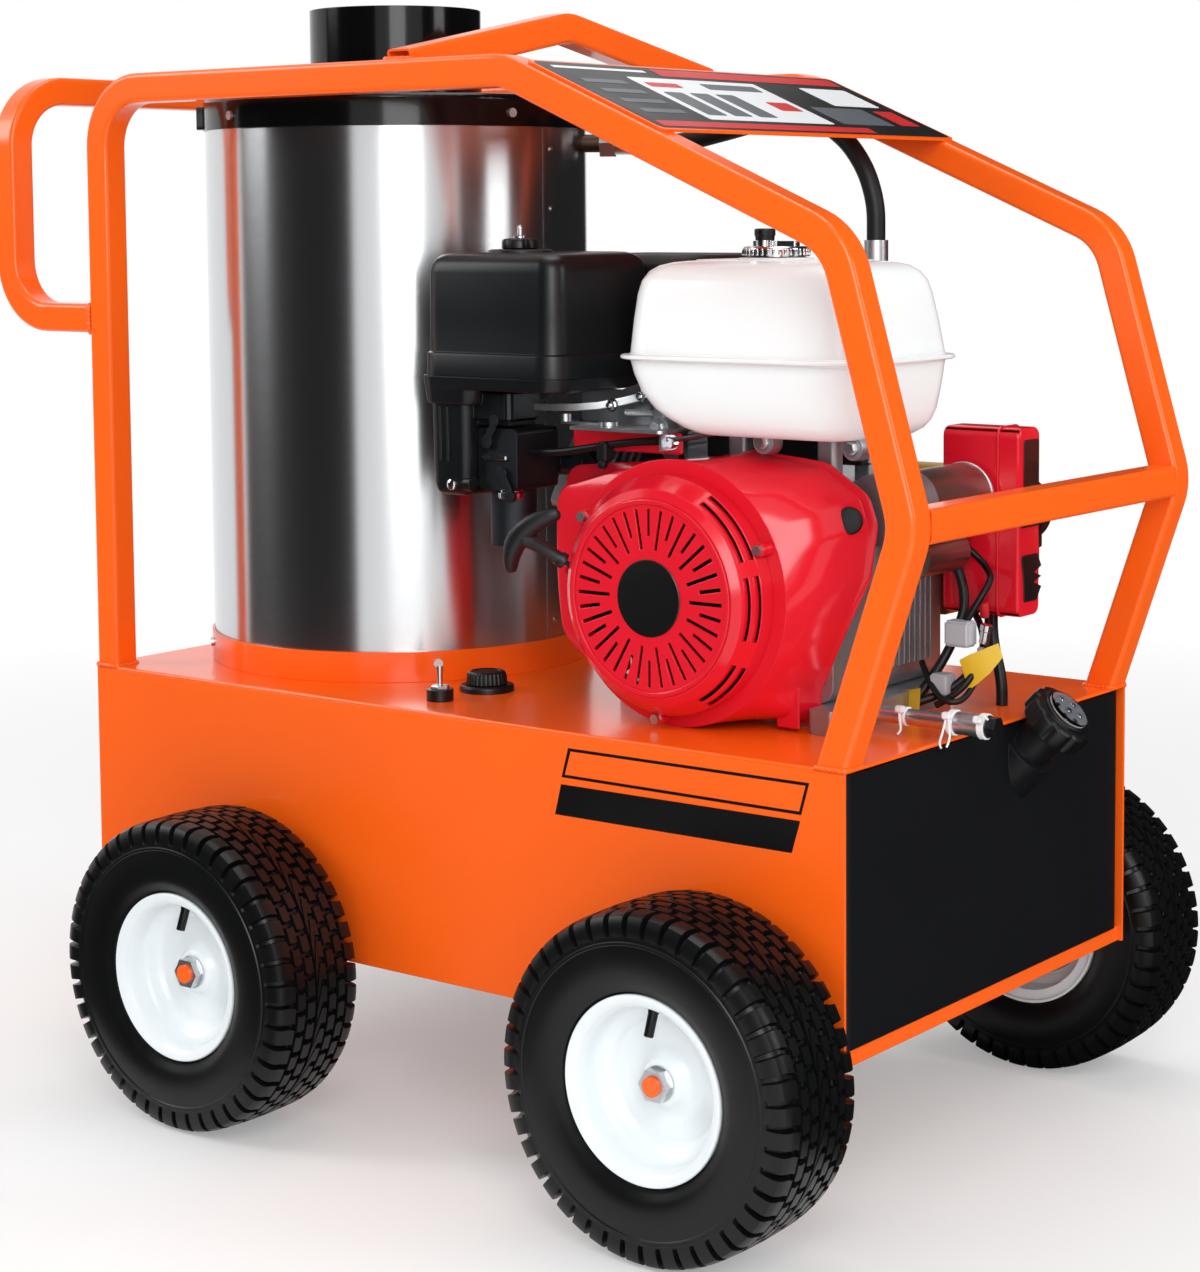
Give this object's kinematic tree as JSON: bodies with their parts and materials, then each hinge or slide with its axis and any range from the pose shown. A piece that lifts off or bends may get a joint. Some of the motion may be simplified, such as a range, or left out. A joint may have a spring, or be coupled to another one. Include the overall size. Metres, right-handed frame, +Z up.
{
  "type": "pressure washer",
  "caption": "Wheeled hot-water pressure washer skid with a tubular frame, vertical boiler, diesel burner, petrol engine, plunger pump, fuel tanks and deck controls.",
  "frame": {"origin": "on the floor, under the middle of the overall length, midway between the wheels of each axle", "axes": "+X along the machine from the push handle towards the diesel tank, +Y to the side away from the recoil starter, +Z up"},
  "size_m": [1.234, 0.82, 1.185],
  "materials": {
    "orange_paint": "gloss enamel on welded steel",
    "crimson_paint": "gloss enamel on pressed steel",
    "cream_paint": "gloss enamel on pressed steel",
    "white_paint": "gloss enamel on pressed steel",
    "black_paint": "gloss black enamel",
    "heat_black": "satin heat-resisting paint",
    "tyre_rubber": "moulded turf-tread rubber",
    "stainless": "brushed stainless sheet",
    "coil_steel": "heat-tinted seamless steel pipe",
    "blanket_fibre": "compressed ceramic fibre",
    "zinc_steel": "zinc plate",
    "cast_aluminium": "as-cast aluminium",
    "cast_iron": "machined cast iron",
    "black_plastic": "moulded satin plastic",
    "tank_plastic": "rotationally moulded polyethylene",
    "brass_metal": "forged brass, dulled",
    "hose_rubber": "smooth rubber cover",
    "cable_rubber": "sleeved cable",
    "rope_cord": "braided cord",
    "sign_face": "printed sheet steel",
    "battery_case": "moulded polypropylene"
  },
  "bodies": {
    "chassis": {"deck_plate": "orange_paint", "chassis_panels": "orange_paint", "axles": "orange_paint", "near_side_rail": "orange_paint", "far_side_rail": "orange_paint", "front_crossbar": "orange_paint", "push_handle": "orange_paint", "lifting_bar": "orange_paint", "sign_panel": "sign_face", "boiler_jacket": "stainless", "boiler_base_ring": "orange_paint", "boiler_blanket": "blanket_fibre", "heating_coil": "coil_steel", "boiler_lid": "black_paint", "exhaust_stack": "black_paint", "burner_housing": "cast_aluminium", "burner_motor": "heat_black", "diesel_tank": "tank_plastic", "battery": "battery_case", "control_bases": "black_plastic", "engine_crankcase": "cast_aluminium", "cylinder_head": "cast_aluminium", "fan_shroud": "crimson_paint", "recoil_cover": "crimson_paint", "petrol_tank": "cream_paint", "air_cleaner_base": "black_plastic", "carburettor": "cast_aluminium", "muffler": "heat_black", "starter_motor": "cast_aluminium", "control_box": "crimson_paint", "wiring_harness": "cable_rubber", "water_pump": "cast_aluminium", "pump_manifold": "brass_metal", "steel_pipes": "zinc_steel", "pressure_hose": "hose_rubber", "fasteners": "zinc_steel"},
    "wheel_front_near": {"rim_front_near": "white_paint", "tyre_front_near": "tyre_rubber"},
    "wheel_front_far": {"rim_front_far": "white_paint", "tyre_front_far": "tyre_rubber"},
    "wheel_rear_near": {"rim_rear_near": "white_paint", "tyre_rear_near": "tyre_rubber"},
    "wheel_rear_far": {"rim_rear_far": "white_paint", "tyre_rear_far": "tyre_rubber"},
    "engine_rotor": {"crankshaft": "cast_iron", "flywheel_fan": "cast_iron"},
    "starter_handle": {"starter_grip": "black_plastic", "starter_rope": "rope_cord"},
    "rope_reel": {"recoil_reel": "black_plastic"},
    "petrol_cap": {"petrol_cap": "zinc_steel"},
    "diesel_cap": {"diesel_cap": "black_plastic"},
    "air_cleaner_cover": {"air_cleaner_cover": "black_plastic"},
    "throttle_lever": {"throttle_lever": "zinc_steel"},
    "choke_lever": {"choke_lever": "zinc_steel"},
    "fuel_valve_lever": {"fuel_valve_lever": "zinc_steel"},
    "ignition_key": {"ignition_key": "zinc_steel"},
    "thermostat_dial": {"thermostat_dial": "black_plastic"},
    "burner_toggle": {"burner_toggle": "zinc_steel"},
    "unloader_knob": {"unloader_knob": "black_plastic"},
    "burner_fan": {"burner_fan": "zinc_steel"}
  },
  "joints": [
    {"name": "wheel_front_near_spin", "type": "hinge", "parent": "chassis", "child": "wheel_front_near", "pos_m": [0.40905, -0.34925, 0.165], "axis": [0, 1, 0], "continuous": true},
    {"name": "wheel_front_far_spin", "type": "hinge", "parent": "chassis", "child": "wheel_front_far", "pos_m": [0.40905, 0.34925, 0.165], "axis": [0, 1, 0], "continuous": true},
    {"name": "wheel_rear_near_spin", "type": "hinge", "parent": "chassis", "child": "wheel_rear_near", "pos_m": [-0.20495, -0.34925, 0.165], "axis": [0, 1, 0], "continuous": true},
    {"name": "wheel_rear_far_spin", "type": "hinge", "parent": "chassis", "child": "wheel_rear_far", "pos_m": [-0.20495, 0.34925, 0.165], "axis": [0, 1, 0], "continuous": true},
    {"name": "engine_spin", "type": "hinge", "parent": "chassis", "child": "engine_rotor", "pos_m": [0.29205, 0, 0.584], "axis": [0, 1, 0], "continuous": true},
    {"name": "starter_pull", "type": "slide", "parent": "chassis", "child": "starter_handle", "axis": [-0.5499, -0.6198, 0.5599], "range_m": [0, 0.6], "stiffness_N_per_m": 12, "springref_m": -0.25},
    {"name": "reel_spin", "type": "hinge", "parent": "chassis", "child": "rope_reel", "pos_m": [0.29205, -0.22, 0.584], "axis": [0, 1, 0], "range_deg": [-5, 755]},
    {"name": "petrol_cap_lift", "type": "slide", "parent": "chassis", "child": "petrol_cap", "axis": [0, 0, 1], "range_m": [0, 0.05]},
    {"name": "diesel_cap_lift", "type": "slide", "parent": "chassis", "child": "diesel_cap", "axis": [0.7071, 0, 0.7071], "range_m": [0, 0.06]},
    {"name": "air_cleaner_lift", "type": "slide", "parent": "chassis", "child": "air_cleaner_cover", "axis": [0, 0, 1], "range_m": [0, 0.1]},
    {"name": "throttle_turn", "type": "hinge", "parent": "chassis", "child": "throttle_lever", "pos_m": [0.18005, -0.15, 0.743], "axis": [0, 0, 1], "range_deg": [-25, 25]},
    {"name": "choke_turn", "type": "hinge", "parent": "chassis", "child": "choke_lever", "pos_m": [0.05405, -0.192, 0.722], "axis": [0, 1, 0], "range_deg": [0, 60]},
    {"name": "fuel_valve_turn", "type": "hinge", "parent": "chassis", "child": "fuel_valve_lever", "pos_m": [0.07405, -0.192, 0.69], "axis": [0, 1, 0], "range_deg": [-90, 0]},
    {"name": "ignition_key_turn", "type": "hinge", "parent": "chassis", "child": "ignition_key", "pos_m": [0.49505, 0.15, 0.65], "axis": [0, 1, 0], "range_deg": [0, 90]},
    {"name": "thermostat_turn", "type": "hinge", "parent": "chassis", "child": "thermostat_dial", "pos_m": [0.00905, -0.145, 0.46], "axis": [0, 0, 1], "range_deg": [0, 270]},
    {"name": "burner_toggle_tip", "type": "hinge", "parent": "chassis", "child": "burner_toggle", "pos_m": [0.00705, -0.217, 0.464], "axis": [0, 1, 0], "range_deg": [-17, 17]},
    {"name": "unloader_turn", "type": "hinge", "parent": "chassis", "child": "unloader_knob", "pos_m": [0.43005, 0.148, 0.674], "axis": [1, 0, 0], "range_deg": [-360, 360]},
    {"name": "burner_fan_spin", "type": "hinge", "parent": "chassis", "child": "burner_fan", "pos_m": [-0.24195, -0.02, 0.315], "axis": [0, 1, 0], "continuous": true}
  ],
  "couplings": [
    {"joint": "reel_spin", "follows": "starter_pull", "rad_per_m": 21.739}
  ]
}
